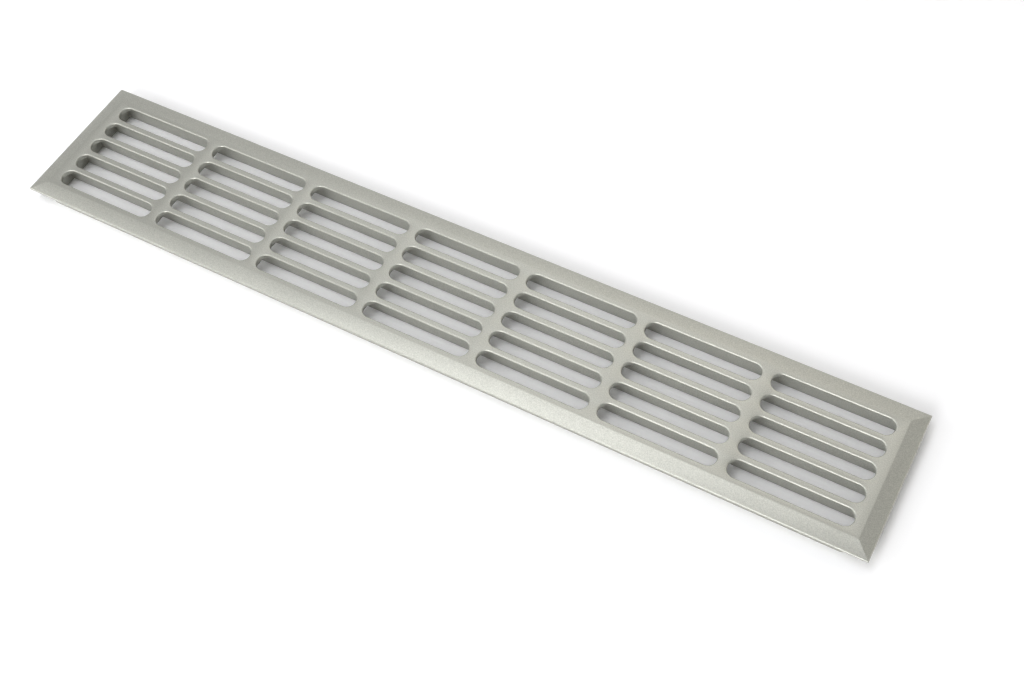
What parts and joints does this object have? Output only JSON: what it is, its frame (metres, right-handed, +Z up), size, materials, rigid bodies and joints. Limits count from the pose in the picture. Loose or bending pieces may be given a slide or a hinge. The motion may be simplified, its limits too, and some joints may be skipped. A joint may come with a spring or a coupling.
{
  "type": "ventilation grille",
  "caption": "Long rectangular ventilation grille with rows of round-ended slots, a bevelled border and a shallow wall behind that enters a panel cut-out.",
  "frame": {"origin": "on the surface that the grille lies on, under the middle of its face plate", "axes": "+X along the length, +Y across it, +Z up out of the visible face"},
  "size_m": [0.48, 0.08, 0.01],
  "materials": {
    "silver": "satin silver paint with a fine metallic grain"
  },
  "bodies": {
    "root": {"grille": "silver"}
  },
  "joints": []
}
